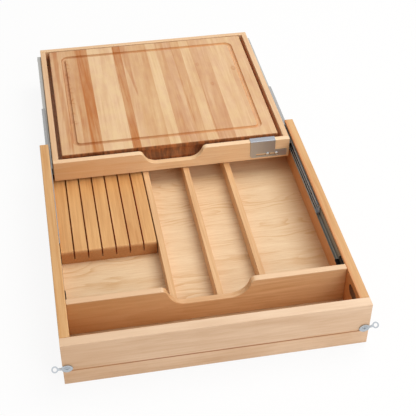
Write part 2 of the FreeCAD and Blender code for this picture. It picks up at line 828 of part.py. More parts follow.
outer_strips, outer_ball_set = outer_cage()
inner_strips, inner_ball_set = inner_cage()
right_slide = {
    "slide_outer": slide_outer(),
    "slide_middle": slide_middle(),
    "slide_inner": slide_inner(),
    "slide_end_piece": slide_end_piece(),
    "slide_bumper": slide_bumper(),
    "outer_ball_cage": outer_strips,
    "outer_balls": outer_ball_set,
    "inner_ball_cage": inner_strips,
    "inner_balls": inner_ball_set,
}
for name, shape in right_slide.items():
    nodes[name + "_right"] = shape
    nodes[name + "_left"] = mirrored(shape)

outer_screw_set = [outer_screw(y, 0) for y in screw_rows(outer_front_y, outer_rear_y)]
nodes["slide_outer_screws"] = Part.makeCompound(outer_screw_set + [mirrored(s) for s in outer_screw_set])
inner_screw_set = inner_screws()
nodes["slide_inner_screws"] = Part.makeCompound(inner_screw_set + [mirrored(s) for s in inner_screw_set])

for side, name, tilt in ((-1, "left", bracket_tilt_left), (1, "right", bracket_tilt_right)):
    nodes["eye_bracket_" + name] = bracket(side, tilt)
    nodes["eye_bracket_screw_" + name] = finished_bracket_screw(side)

front_set = dowel_set(front_dowels(), dowel_radius, along, dowel_length)
rail_set = dowel_set(rail_dowels(), dowel_radius, upward, rail_dowel_length)
tray_set = dowel_set(tray_dowels(), tray_dowel_radius, along, tray_dowel_length)
nodes["front_dowels"] = Part.makeCompound(front_set)
nodes["rail_dowels"] = Part.makeCompound(rail_set)
nodes["tray_dowels"] = Part.makeCompound(tray_set)
nodes["back_screws"] = Part.makeCompound(wood_screws(back_screws()))

os.makedirs("parts", exist_ok=True)
for name, shape in nodes.items():
    shape.exportStep("parts/" + name + ".step")
    bound = shape.BoundBox
    print(name, len(shape.Solids), shape.isValid(), round(shape.Volume),
          [round(v, 1) for v in (bound.XMin, bound.XMax, bound.YMin, bound.YMax, bound.ZMin, bound.ZMax)])
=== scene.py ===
import math
from functools import partialmethod

import bmesh
import bpy
import numpy as np
from mathutils import Matrix, Vector


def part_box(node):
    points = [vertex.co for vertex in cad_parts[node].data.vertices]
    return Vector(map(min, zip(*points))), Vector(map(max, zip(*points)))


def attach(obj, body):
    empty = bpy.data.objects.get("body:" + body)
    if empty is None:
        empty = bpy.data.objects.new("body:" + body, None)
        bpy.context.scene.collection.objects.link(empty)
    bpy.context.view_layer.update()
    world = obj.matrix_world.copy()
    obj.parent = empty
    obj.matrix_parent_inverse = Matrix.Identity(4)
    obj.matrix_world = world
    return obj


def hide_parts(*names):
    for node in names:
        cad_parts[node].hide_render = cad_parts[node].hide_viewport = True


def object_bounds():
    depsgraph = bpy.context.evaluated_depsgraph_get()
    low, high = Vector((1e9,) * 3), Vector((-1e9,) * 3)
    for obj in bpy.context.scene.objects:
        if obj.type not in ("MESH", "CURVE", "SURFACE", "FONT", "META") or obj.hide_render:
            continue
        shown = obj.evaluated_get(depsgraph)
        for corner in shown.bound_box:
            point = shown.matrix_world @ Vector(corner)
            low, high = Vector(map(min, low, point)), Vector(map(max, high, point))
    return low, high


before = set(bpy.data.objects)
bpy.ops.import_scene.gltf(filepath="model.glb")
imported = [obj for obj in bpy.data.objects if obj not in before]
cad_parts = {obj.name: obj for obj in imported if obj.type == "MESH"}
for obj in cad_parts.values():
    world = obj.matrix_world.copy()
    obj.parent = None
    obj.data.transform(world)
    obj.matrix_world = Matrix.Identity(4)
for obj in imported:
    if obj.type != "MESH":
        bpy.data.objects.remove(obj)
cadLow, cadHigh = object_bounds()
print("frame loaded with", len(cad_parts), "nodes")

# The drawer lies along Y with its face at low Y. Shapes below are worked out in millimetres.
perMetre = 1000.0


def span(node):
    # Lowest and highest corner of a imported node, in millimetres
    low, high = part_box(node)
    return np.array(low) * perMetre, np.array(high) * perMetre


def pick(settings, *keys):
    return [settings[key] for key in keys]


bothSides = ("left", "right")

# Colours and shader maths

def linear(colour):
    # sRGB numbers from 0 to 255 as the linear colour that a shader takes
    share = np.array(colour, float) / 255
    low = share / 12.92
    high = ((share + 0.055) / 1.055) ** 2.4
    return tuple(np.where(share <= 0.04045, low, high)) + (1.0,)


class Strand:
    # One output of a shader node; sums and products of strands add Math nodes

    def __init__(self, paint, socket):
        self.paint = paint
        self.socket = socket

    def maths(self, operation, *others, clamp=False):
        inputs = dict(enumerate((self,) + others))
        return self.paint.node("Math", inputs, operation=operation, use_clamp=clamp)

    def __rsub__(self, other):
        return self.paint.node("Math", {0: other, 1: self}, operation="SUBTRACT")

    __add__ = __radd__ = partialmethod(maths, "ADD")
    __sub__ = partialmethod(maths, "SUBTRACT")
    __mul__ = __rmul__ = partialmethod(maths, "MULTIPLY")
    __truediv__ = partialmethod(maths, "DIVIDE")
    __pow__ = partialmethod(maths, "POWER")
    __abs__ = partialmethod(maths, "ABSOLUTE")

    def smooth(self, low, high):
        # 0 below low, 1 above high, with an eased run between them
        ends = {"From Min": low, "From Max": high, "Value": self}
        return self.paint.node("MapRange", ends, interpolation_type="SMOOTHSTEP")


class Paint:
    # A material being built; its shader is one Principled node

    def __init__(self, name):
        self.material = bpy.data.materials.new(name)
        self.material.use_nodes = True
        self.tree = self.material.node_tree
        self.shader = self.tree.nodes["Principled BSDF"]

    def node(self, kind, inputs={}, output=0, **settings):
        made = self.tree.nodes.new("ShaderNode" + kind)
        for key, value in settings.items():
            setattr(made, key, value)
        for key, value in inputs.items():
            self.plug(made.inputs[key], value)
        return Strand(self, made.outputs[output]) if made.outputs else None

    def parts(self, kind, inputs, outputs):
        # Several outputs of one node
        sockets = self.node(kind, inputs).socket.node.outputs
        return [Strand(self, sockets[output]) for output in outputs]

    def plug(self, socket, value):
        if isinstance(value, Strand):
            self.tree.links.new(value.socket, socket)
        else:
            socket.default_value = value

    def ramp(self, share, stops, blend="LINEAR"):
        made = self.node("ValToRGB", {0: share})
        ramp = made.socket.node.color_ramp
        ramp.interpolation = blend
        while len(ramp.elements) < len(stops):
            ramp.elements.new(0.5)
        for element, (place, colour) in zip(ramp.elements, stops):
            element.position = place
            element.color = colour
        return made

    def set(self, **values):
        for key, value in values.items():
            self.plug(self.shader.inputs[key.replace("_", " ")], value)

    def mix(self, share, first, second):
        # A colour between two colours, each a strand, a linear colour or the name of a tone
        first, second = (linear(tones[end]) if isinstance(end, str) else end for end in (first, second))
        ends = {0: share, 6: first, 7: second}
        return self.node("Mix", ends, 2, data_type="RGBA", clamp_factor=True)

    def noise(self, x, y, z, detail=2.0, rough=0.5):
        # Noise of scale 1, so the strands carry the scale along each axis
        spot = self.node("CombineXYZ", {0: x, 1: y, 2: z})
        ends = {"Vector": spot, "Scale": 1.0, "Detail": detail, "Roughness": rough}
        return self.node("TexNoise", ends)

    def bump(self, strength, depth, height):
        return self.node("Bump", {"Strength": strength, "Distance": depth, "Height": height})

    def place(self):
        # X, Y and Z on the object, in millimetres
        spot = self.node("TexCoord", output="Object")
        scaled = self.node("VectorMath", {0: spot, "Scale": perMetre}, operation="SCALE")
        return self.parts("SeparateXYZ", {0: scaled}, range(3))


# Wood

# The tones for joints, top edges, holes, slots, the gap beside the cutting board, the groove's walls
# and the board's long sides are painted light and shade, not colours of the wood
tones = {
    "honey": (214, 160, 100), "brown": (150, 92, 48), "end": (150, 84, 44), "seam": (152, 84, 34),
    "topHighlight": (250, 226, 196), "hollow": (92, 46, 24), "slot": (222, 100, 46), "gap": (240, 192, 148),
    "gold": (231, 198, 150), "deepGold": (184, 108, 36), "rose": (231, 193, 157),
    "deepRose": (178, 110, 60), "wallShade": (170, 98, 46), "warmWallShade": (220, 146, 76),
    "boardEnd": (180, 102, 50), "deepEnd": (84, 40, 18), "outside": (196, 124, 74),
}

# The finish: lacquer over the wood, and how deep its pores are in metres
woodFinish = {"coat": 0.12, "coatRough": 0.3, "specular": 0.4, "bump": 0.25, "pores": 0.0001}

woodLook = {
    "grain": 1,  # axis that the grain runs along
    "face": 2,  # axis across the wide face
    "heart": (10.0, -70.0),  # middle of the tree across the face and below it
    "taper": 0.05,  # how fast the rings run out of the face
    "ringGap": 6.0,
    "rings": 0.16,  # how strongly the rings show
    "patchy": False,  # sharper rings that show in patches only
    "streak": 1.5,
    "fibre": 0.7,
    "tone": 0.9,
    "base": 0.36,  # depth before any marks: 0 is the light tone, 1 the dark one
    "flecks": 0.16,
    "wander": 8.0,  # how far the rings stray along the board
    "shift": 0.0,  # moves the noise, so that no two boards are alike
    "gloss": 0.42,
    "seam": None,  # axis, place and half width of a joint, with painted shade in it and a warm painted blur of shade beside it
    "endGrain": None,  # place along the grain, width and strength of a dark sawn end
    "crown": None,  # height and strength of a painted highlight along the top edge
    "lean": None,  # axis, start, full place, strength and tone of painted shade that darkens one end
    "hollows": None,  # makes a mask for cuts and gaps whose walls take a painted tone: painted shade in holes and slots, painted light in the gap beside the cutting board
    "hollow": "hollow",  # the painted tone's name
}


def distance(u, v):
    return (u * u + v * v) ** 0.5


def woodField(paint, look, spots):
    # Rings are cones about the heart: radius = distance across the grain, plus a taper along it.
    # Their phase over the ring gap gives a line that darkens slowly and ends sharply.
    run = spots[look["grain"]]
    rise = spots[look["face"]]
    side = spots[3 - look["grain"] - look["face"]]
    shift = look["shift"]
    stray = paint.noise(run * 0.004 + shift, side * 0.016, rise * 0.016)
    acrossHeart = side - look["heart"][0] + (stray - 0.5) * look["wander"]
    belowHeart = rise - look["heart"][1] + run * look["taper"]
    radius = distance(acrossHeart, belowHeart)
    ripple = paint.noise(run * 0.01, side * 0.05 + shift, rise * 0.05, 3)
    phase = (radius / look["ringGap"] + ripple * 1.4).maths("FRACT")
    lines = phase.smooth(0.1, 0.9) * (1 - phase.smooth(0.9, 1))
    hairs = paint.noise(run * 0.03, side * 1.1 + shift, rise * 1.1, 3, 0.6)
    streaks = paint.noise(run * 0.007, side * 0.24 + shift, rise * 0.24, 3, 0.6)
    broad = paint.noise(run * 0.006 + shift, side * 0.035, rise * 0.035)
    flecks = paint.noise(run * 0.16, side * 1.9, rise * 1.9 + shift)
    return lines, hairs, streaks, broad, flecks.smooth(0.6, 0.75)


def woodPaint(name, light, dark, **changes):
    # Depth is the sum of base and marks; flecks, end grain, painted shade and painted highlights are
    # mixed over the colour it gives
    look = dict(woodLook, **changes)
    paint = Paint(name)
    spots = paint.place()
    lines, hairs, streaks, broad, flecks = woodField(paint, look, spots)
    rings = (lines - 0.4) * look["rings"]
    if look["patchy"]:
        rings = (lines ** 3.0 - 0.2) * broad.smooth(0.4, 0.62) * look["rings"]
    depth = look["base"] + (broad - 0.5) * look["tone"] + rings
    depth = depth + (streaks - 0.5) * look["streak"] + (hairs - 0.5) * look["fibre"]
    colour = paint.mix(depth, linear(light), linear(dark))
    colour = paint.mix(flecks * look["flecks"], colour, "brown")
    # Painted shade along the joint, and a warm painted blur of shade beside it, broken up by the
    # streaks
    if look["seam"]:
        axis, place, wide = look["seam"]
        near = 1 - abs(spots[axis] - place).smooth(wide * 0.35, wide)
        shadeBlur = 1 - abs(spots[axis] - place - wide).smooth(0, wide * 3.4)
        colour = paint.mix(near * 0.75, colour, "seam")
        colour = paint.mix(shadeBlur * streaks.smooth(0.42, 0.66) * 0.34, colour, "honey")
    if look["endGrain"]:
        place, wide, strength = look["endGrain"]
        sawn = 1 - (spots[look["grain"]] - place).smooth(wide * 0.2, wide)
        colour = paint.mix(sawn * strength, colour, "end")
    # Painted shade: the colour darkens towards one end, where less light falls
    if look["lean"]:
        axis, start, full, strength, tone = look["lean"]
        way = math.copysign(1, full - start)
        share = (spots[axis] * way).smooth(start * way, full * way)
        colour = paint.mix(share * strength, colour, linear(tone))
    # Painted highlight: the top edge is paler where the light falls on it
    if look["crown"]:
        height, strength = look["crown"]
        edge = spots[2].smooth(height - 1.6, height - 0.2)
        colour = paint.mix(edge * strength, colour, "topHighlight")
    rough = look["gloss"] + (hairs - 0.5) * 0.16 + lines * 0.05
    coat = woodFinish["coat"]
    # Painted tone in cuts and gaps: painted shade in holes and slots, painted light in the gap beside
    # the cutting board; they are also rougher and carry no coat
    if look["hollows"]:
        hidden = look["hollows"](spots)
        colour = paint.mix(hidden, colour, look["hollow"])
        rough = rough + hidden * 0.5
        coat = (1 - hidden) * coat
    bump = paint.bump(woodFinish["bump"], woodFinish["pores"], hairs * 0.7 + flecks * -0.6)
    paint.set(Base_Color=colour, Roughness=rough, Normal=bump, Coat_Weight=coat)
    paint.set(Coat_Roughness=woodFinish["coatRough"], Specular_IOR_Level=woodFinish["specular"])
    return paint.material


# Mesh work: each shape is an array of rings, rows by points by 3

def unit(rows):
    return rows / np.linalg.norm(rows, axis=1, keepdims=True)


def roundedOutline(corners, radii, steps=5):
    # Every corner becomes an arc: its centre lies on the corner's bisector at radius / sin(half angle),
    # and its points swing evenly from one tangent point to the other.
    corners = np.array(corners, float)
    radii = np.broadcast_to(np.array(radii, float), len(corners))[:, None]
    before = unit(np.roll(corners, 1, 0) - corners)
    after = unit(np.roll(corners, -1, 0) - corners)
    half = np.arccos(np.clip((before * after).sum(1), -1, 1))[:, None] / 2
    centre = corners + unit(before + after) * radii / np.sin(half)
    start = corners + before * radii / np.tan(half) - centre
    end = corners + after * radii / np.tan(half) - centre
    swing = (np.pi - 2 * half)[:, :, None]
    share = np.linspace(0, 1, steps + 1)[None, :, None]
    first = np.sin((1 - share) * swing) * start[:, None]
    second = np.sin(share * swing) * end[:, None]
    return (centre[:, None] + (first + second) / np.sin(swing)).reshape(-1, 2)


def insetOutline(outline, distances):
    # Each point moves inwards along the mean of its two edge normals, stretched so that edges stay
    # parallel. Outlines run counter-clockwise. Gives one outline for each distance.
    edge = unit(np.roll(outline, -1, 0) - outline)
    normal = np.stack([-edge[:, 1], edge[:, 0]], 1)
    last = np.roll(normal, 1, 0)
    shared = (normal + last) / (1 + (normal * last).sum(1, keepdims=True))
    return outline[None] + shared[None] * np.array(distances)[:, None, None]


def placed(outlines, places):
    # Gives each outline its place along the sweep
    along = np.broadcast_to(places[:, None, None], outlines.shape[:2] + (1,))
    return np.concatenate([outlines, along], 2)


def slabRings(outline, low, high, ease, steps=4, way=1):
    # An outline carried between two places; both rims are quarter rounds of radius ease:
    # inset = ease (1 - sin t), place = end + ease (1 - cos t). With way at -1 the rims flare out.
    turn = np.linspace(0, np.pi / 2, steps + 1)
    inset = way * ease * (1 - np.sin(turn))
    step = ease * (1 - np.cos(turn))
    insets = np.concatenate([inset, inset[::-1]])
    places = np.concatenate([low + step, high - step[::-1]])
    return placed(insetOutline(outline, insets), places)


def turnedTo(rings, axis):
    # Rings come as two section coordinates and a place along the sweep; this sets them on X, Y and Z
    return rings[:, :, {"x": (2, 0, 1), "y": (0, 2, 1)}[axis]]


def leftward(rings, side):
    # Shapes are made for the right side; the left one is mirrored in X
    return rings * np.array([-1, 1, 1]) if side == "left" else rings


def linked(name, data):
    # A new object in the scene
    made = bpy.data.objects.new(name, data)
    bpy.context.scene.collection.objects.link(made)
    return made


def pour(name, rings):
    # Quads join each ring to the next, and one face closes each end
    rows, around = rings.shape[:2]
    row = np.arange(rows - 1)[:, None] * around
    step = np.arange(around)[None, :]
    nextStep = (step + 1) % around
    quads = np.stack([row + step, row + nextStep, row + around + nextStep, row + around + step], -1)
    ends = [list(range(around))[::-1], list(range((rows - 1) * around, rows * around))]
    mesh = bpy.data.meshes.new(name)
    points = (rings.reshape(-1, 3) / perMetre).tolist()
    mesh.from_pydata(points, [], quads.reshape(-1, 4).tolist() + ends)
    tidyMesh(mesh)
    return linked(name, mesh)


def tidyMesh(mesh):
    # Merges what coincides, drops empty faces and turns every face outwards
    work = bmesh.new()
    work.from_mesh(mesh)
    bmesh.ops.remove_doubles(work, verts=work.verts, dist=2e-6)
    bmesh.ops.dissolve_degenerate(work, edges=work.edges, dist=2e-6)
    bmesh.ops.recalc_face_normals(work, faces=work.faces)
    work.to_mesh(mesh)
    work.free()


def finishPiece(piece, body, material, node, crease=35.0):
    # Smooth shading that breaks at sharp edges and keeps flat faces flat
    mesh = piece.data
    mesh.materials.clear()
    mesh.materials.append(material)
    mesh.shade_smooth()
    mesh.set_sharp_from_angle(angle=math.radians(crease))
    weigh = piece.modifiers.new("flat faces lead", "WEIGHTED_NORMAL")
    weigh.keep_sharp = True
    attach(piece, body)
    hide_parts(node)


def bore(piece, cutter):
    # Takes the cutter's shape out of the piece
    cut = piece.modifiers.new("bore", "BOOLEAN")
    cut.object = cutter
    cut.solver = "EXACT"
    graph = bpy.context.evaluated_depsgraph_get()
    mesh = bpy.data.meshes.new_from_object(piece.evaluated_get(graph))
    piece.modifiers.clear()
    piece.data = mesh
    bpy.data.objects.remove(cutter)
    tidyMesh(piece.data)


def easedOutline(corners, radii, ease, steps=5):
    # Corners run counter-clockwise; where the cross product of the two edges is positive the corner
    # stands out, and it is at least as round as the rims, so that an inset outline never crosses itself
    corners = np.array(corners, float)
    ahead = np.roll(corners, -1, 0) - corners
    behind = corners - np.roll(corners, 1, 0)
    standsOut = behind[:, 0] * ahead[:, 1] - behind[:, 1] * ahead[:, 0] > 0
    radii = np.broadcast_to(np.array(radii, float), len(corners))
    return roundedOutline(corners, np.where(standsOut, np.maximum(radii, ease + 0.02), radii), steps)


def rectangle(u0, u1, v0, v1):
    return [(u0, v0), (u1, v0), (u1, v1), (u0, v1)]


def plainBoard(name, node, axis, ease, body, material):
    # A board whose long edges and ends are all eased alike
    low, high = span(node)
    u, v, w = {"x": (1, 2, 0), "y": (0, 2, 1)}[axis]
    corners = rectangle(low[u], high[u], low[v], high[v])
    rings = turnedTo(slabRings(easedOutline(corners, ease, ease), low[w], high[w], ease), axis)
    finishPiece(pour(name, rings), body, material, node)


# Drawer box

# Its last tone is painted shade that darkens the face boards towards their left end
faceLook = {"topRound": 1.5, "chamfer": 1.2, "ease": 0.35, "joint": (2, 33.8, 2.2),
            "lean": (198, 150, 104)}


def faceBoard(name, paintName, node, cutCorner, radii, lean, **look):
    # A section in Y and Z, carried along X; its front corner at the joint is chamfered
    low, high = span(node)
    cut, ease = faceLook["chamfer"], faceLook["ease"]
    corners = rectangle(low[1], high[1], low[2], high[2])
    level = corners[cutCorner][1]
    corners[cutCorner] = (low[1] + cut, level)
    corners.append((low[1], level + (cut if cutCorner == 0 else -cut)))
    rings = slabRings(easedOutline(corners, radii, ease), low[0], high[0], ease)
    paint = woodPaint(
        paintName, grain=0, face=1, seam=faceLook["joint"],
        lean=(0, -40, -290, lean, faceLook["lean"]), **look)
    finishPiece(pour(name, turnedTo(rings, "x")), "drawer", paint, node)


def makeFace():
    top = faceLook["topRound"]
    # The face board gets a painted highlight along its top edge
    faceBoard(
        "face_board", "maple_face", "drawer_front", 0, [0.2, 0.3, top, top, 0.2], 0.42,
        light=(232, 200, 168), dark=(206, 166, 128), heart=(60, 55), taper=0.06, shift=3.7,
        crown=(97.6, 0.2), rings=0.07, streak=0.9, tone=1.5)
    faceBoard(
        "face_rail", "maple_rail", "drawer_front_rail", 3, [0.8, 0.8, 0.3, 0.2, 0.2], 0.3,
        light=(232, 198, 164), dark=(206, 164, 124), heart=(20, 70), taper=-0.05, shift=8.1,
        rings=0.1, streak=1.0, tone=1.4)


sideBoard = {"topRound": 1.5, "ease": 0.6, "fit": 0.5}

# Each drawer side: shift of its grain, height of the tree's heart and its painted shade, which darkens
# the right side towards its inner face
drawerSides = {"right": (2.3, -58, (0, 260, 254.5, 0.5, (208, 116, 52))), "left": (6.9, 40, None)}


def makeSides():
    # The section holds the slide's groove and the bottom panel's groove
    low, high = span("drawer_side_right")
    grooveLow, grooveHigh = span("slide_outer_right")
    floorLow, floorHigh = span("drawer_bottom")
    fit, ease, top = pick(sideBoard, "fit", "ease", "topRound")
    inner, deep = low[0], grooveHigh[0]
    lower, upper = grooveLow[2] - fit, grooveHigh[2] + fit
    corners = [(inner, low[2]), (high[0], low[2]), (high[0], high[2]), (inner, high[2]), (inner, upper),
               (deep, upper), (deep, lower), (inner, lower), (inner, floorHigh[2]),
               (floorHigh[0], floorHigh[2]), (floorHigh[0], floorLow[2]), (inner, floorLow[2])]
    radii = [ease, ease, top, top, ease, 0.3, 0.3, ease, 0.1, 0.1, 0.1, 0.1]
    outline = easedOutline(corners, radii, ease, 4)
    rings = slabRings(outline, low[1], high[1], ease)
    # The groove starts behind the divider: ahead of it, its points are pulled back to the inner face
    half = len(rings) // 2
    inGroove = (outline[:, 1] > lower - ease) & (outline[:, 1] < upper + ease)
    inGroove &= outline[:, 0] < high[0] - 2
    ahead = rings[:half].copy()
    ahead[:, inGroove, 0] = np.maximum(inner, ahead[:, :1, 0])
    stop = rings[half - 1:half + 1].copy()
    stop[:, :, 2] = grooveLow[1] - fit
    stop[0, inGroove, 0] = inner
    right = turnedTo(np.concatenate([ahead, stop, rings[half:]]), "y")
    for side, (shift, heart, lean) in drawerSides.items():
        piece = pour("side_board_" + side, leftward(right, side))
        bore(piece, handHoleCutter(side))
        # The hand hole's walls take the dark hollow tone: painted shade over their end grain's own
        # darker tone
        paint = woodPaint(
            "maple_side_" + side, (222, 176, 120), (196, 138, 76), face=0, taper=0.02,
            heart=(heart, 330), shift=shift, hollows=inHandHole, lean=lean)
        finishPiece(piece, "drawer", paint, "drawer_side_" + side)


handHole = {"middle": (44.25, 71.8), "length": 42, "height": 21, "flare": 1.2}


def inHandHole(spots):
    # How far a place is from the oval's middle line in the side's plane, against the oval's radius
    x, y, z = spots
    middleY, middleZ = handHole["middle"]
    radius = handHole["height"] / 2
    straight = handHole["length"] / 2 - radius
    away = distance((abs(y - middleY) - straight).maths("MAXIMUM", 0.0), z - middleZ)
    return 1 - away.smooth(radius - 0.2, radius + handHole["flare"] * 0.6)


def handHoleCutter(side):
    # An oval carried 2 mm past both faces of the side, where it flares out
    low, high = span("drawer_side_" + side)
    y, z = handHole["middle"]
    halfLong = handHole["length"] / 2
    halfHigh = handHole["height"] / 2
    corners = rectangle(y - halfLong, y + halfLong, z - halfHigh, z + halfHigh)
    outline = roundedOutline(corners, halfHigh - 0.01, 10)
    rings = slabRings(outline, low[0], high[0], handHole["flare"], way=-1)
    past = np.array([0, 0, 2])
    return pour("cutter", turnedTo(np.concatenate([rings[:1] - past, rings, rings[-1:] + past]), "x"))


def scoopBoard(name, node, shape, body, material):
    # A board with a scoop in its top: at each side two arcs meet in one slope, which comes from their
    # centres, lowRadius + highRadius apart. Corners lie radius * tan(slope / 2) from tangent points.
    start, end = span(node)
    lowRadius, highRadius, ease, low = pick(shape, "lowRadius", "highRadius", "ease", "low")
    top, foot = end[2], start[2]
    rise = (top - highRadius) - (low + lowRadius)
    reach = math.sqrt((lowRadius + highRadius) ** 2 - rise ** 2)
    steep = math.pi / 2 + math.atan2(rise, reach)
    shoulder = shape["flat"] + reach - highRadius * math.tan(steep / 2)
    toe = shape["flat"] + lowRadius * math.tan(steep / 2)
    corners = [(start[0], foot), (end[0], foot), (end[0], top), (shoulder, top), (toe, low),
               (-toe, low), (-shoulder, top), (start[0], top)]
    lowRadius, highRadius = lowRadius - shape["slack"], highRadius - shape["slack"]
    radii = [ease, ease, ease, highRadius, lowRadius, lowRadius, highRadius, ease]
    rings = slabRings(easedOutline(corners, radii, ease, 14), start[1], end[1], ease, 5)
    finishPiece(pour(name, turnedTo(rings, "y")), body, material, node)


divider = {"low": 61, "flat": 40, "lowRadius": 36, "highRadius": 12.5, "ease": 1.5, "slack": 0.03}


def makeDivider():
    # Painted shade darkens the divider towards its left end, and a painted highlight runs along its top
    # edge
    lean = (0, 60.0, -260.0, 0.5, (196, 132, 66))
    paint = woodPaint(
        "maple_divider", (228, 184, 138), (202, 150, 98), grain=0, face=1, shift=5.2,
        heart=(40, 150), crown=(97.45, 0.35), lean=lean)
    scoopBoard("divider_board", "cross_divider", divider, "drawer", paint)


partition = {"ease": 0.8, "heart": 8.0, "heartStep": 9.0, "heartAway": 60.0, "shift": 1.3,
             "shiftStep": 2.9}


def makePartitions():
    ease = partition["ease"]
    for index, side in enumerate(("left", "middle", "right")):
        node = "partition_" + side
        heartX = span(node)[1][0] + partition["heartAway"]
        heart = (partition["heart"] + partition["heartStep"] * index, heartX)
        paint = woodPaint(
            "maple_partition_" + side, (234, 190, 140), (204, 150, 96), face=0, heart=heart,
            taper=0.03, shift=partition["shift"] + partition["shiftStep"] * index)
        plainBoard("partition_board_" + side, node, "y", ease, "drawer", paint)
    paint = woodPaint(
        "maple_back", (226, 184, 134), (200, 150, 98), grain=0, face=1, heart=(25, 470), shift=9.4)
    plainBoard("back_board", "drawer_back", "x", ease, "drawer", paint)


knifeBlock = {"slots": 6, "first": 25, "pitch": 26.8, "wide": 2.6, "deep": 18, "nose": 7,
              "radii": [0.5, 0.5, 0.8], "slotRadii": [0.5, 0.3, 0.3, 0.5], "edge": 0.8}


def inKnifeSlot(spots):
    # 1 between the walls of a slot: the distance to the nearest slot's middle is under half its width
    x, y, z = spots
    low, high = span("knife_block")
    pitch = knifeBlock["pitch"]
    turn = ((x - float(low[0] + knifeBlock["first"])) / pitch + 0.5).maths("FRACT")
    away = abs(turn - 0.5) * pitch
    wall = knifeBlock["wide"] / 2
    inside = 1 - away.smooth(wall + 0.05, wall + 0.25)
    inBlock = 1 - (x - float(high[0] - knifeBlock["first"] / 4)).smooth(0, 1)
    down = float(high[2]) - z
    under = down.smooth(0.15, 0.8) * (1 - (down - knifeBlock["deep"]).smooth(-0.2, 0.3))
    return inside * under * inBlock * (y - float(low[1])).smooth(2, 12)


def makeKnifeBlock():
    # A comb section carried along Y; near the nose its top drops along a quarter round:
    # drop = nose - sqrt(nose^2 - (nose - distance)^2)
    low, high = span("knife_block")
    top = high[2]
    corners = [(low[0], low[2]), (high[0], low[2]), (high[0], top)]
    radii = list(knifeBlock["radii"])
    halfWide = knifeBlock["wide"] / 2
    bottom = top - knifeBlock["deep"]
    for index in reversed(range(knifeBlock["slots"])):
        x = low[0] + knifeBlock["first"] + knifeBlock["pitch"] * index
        left, right = x - halfWide, x + halfWide
        corners += [(right, top), (right, bottom), (left, bottom), (left, top)]
        radii += knifeBlock["slotRadii"]
    outline = roundedOutline(corners + [(low[0], top)], radii + [knifeBlock["edge"]], 3)
    nose = knifeBlock["nose"]
    turn = np.linspace(0, np.pi / 2, 9)
    places = np.append(low[1] + nose * (1 - np.cos(turn)), high[1])
    drops = np.append(nose * (1 - np.sin(turn)), 0)
    rings = placed(np.broadcast_to(outline, (len(places),) + outline.shape), places)
    upper = outline[:, 1] > top - 2 * nose
    rings[:, :, 1] -= np.where(upper[None], drops[:, None], 0)
    # The slots' walls take the slot tone, a warm painted shade; the darker front is end grain
    paint = woodPaint(
        "block_wood", (226, 174, 112), (196, 136, 76), heart=(-120, -30), taper=0.02, shift=7.7,
        tone=1.1, endGrain=(267.0, 5.0, 0.6), hollows=inKnifeSlot, hollow="slot")
    piece = pour("slotted_block", turnedTo(rings, "y"))
    finishPiece(piece, "drawer", paint, "knife_block")


def makeFloor():
    # Painted warm shade darkens the floor towards the right side wall
    paint = woodPaint(
        "veneer_floor", (243, 217, 180), (210, 164, 110), grain=0, heart=(200, -60), taper=0.0,
        wander=150, ringGap=10, patchy=True, rings=0.4, tone=0.6, streak=0.5, fibre=1.1, shift=2.6,
        lean=(0, 175, 262, 0.4, (206, 142, 74)))
    setCad(paint, "drawer_bottom")
    paint = woodPaint(
        "veneer_tray", (248, 208, 164), (228, 172, 122), grain=0, heart=(650, -60), wander=60,
        ringGap=11, rings=0.34, tone=0.6, streak=0.4, shift=5.6)
    setCad(paint, "tray_bottom")


def setCad(material, *names, bevel=0.0):
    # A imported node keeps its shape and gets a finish; its sharp edges can be broken by a small bevel
    for name in names:
        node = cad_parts[name]
        for entry in node.material_slots:
            entry.material = material
        if bevel:
            edge = node.modifiers.new("broken edges", "BEVEL")
            edge.width = bevel / perMetre
            edge.segments = 2
            edge.limit_method = "ANGLE"
            edge.angle_limit = math.radians(40)


# Tray

tray = {"low": 70, "flat": 34, "lowRadius": 29, "highRadius": 11.2, "ease": 1.2, "slack": 0.03}

# Each tray side: shift of its grain, height of the tree's heart and its lighter tone
traySides = {"left": (11.3, -180, (228, 190, 150)), "right": (12.9, 320, (236, 201, 162))}


def inBoardGap(spots):
    # 1 on the faces that look at the cutting board, below the rim; there the gap tone is painted light
    # that lifts the gap's shade
    x, y, z = spots
    inner = float(span("tray_bottom")[1][0])
    rim = float(span("tray_side_right")[1][2])
    return (1 - (abs(x) - inner).smooth(0.2, 1)) * (rim - z).smooth(2, 8)


def makeTray():
    # Painted shade darkens the tray's front towards its left end, and a painted highlight runs along
    # its top edge
    paint = woodPaint(
        "maple_tray_front", (248, 214, 172), (232, 184, 130), grain=0, face=1, shift=4.4,
        heart=(60, 560), crown=(97.4, 0.3), lean=(0, 20, -240, 0.5, (220, 160, 98)))
    scoopBoard("tray_front_board", "tray_front", tray, "tray", paint)
    ease = tray["ease"]
    for side, (shift, heart, light) in traySides.items():
        paint = woodPaint(
            "maple_tray_" + side, light, (212, 166, 118), face=0, heart=(60, heart), shift=shift,
            hollows=inBoardGap, hollow="gap")
        node = "tray_side_" + side
        plainBoard("tray_side_board_" + side, node, "y", ease, "tray", paint)
    paint = woodPaint(
        "maple_tray_back", (236, 201, 162), (214, 168, 118), grain=0, face=1, heart=(60, 1010),
        shift=14.1)
    plainBoard("tray_back_board", "tray_back", "x", ease, "tray", paint)


# Cutting board

boardShape = {"corner": 4, "edge": 2.5, "inset": 31, "groove": 5, "turn": 12,
              "coveRadius": 11, "coveBite": 8, "coveUp": 19, "coveHalf": 92, "cornerSteps": 10,
              "footEase": 0.6, "rim": 0.35}

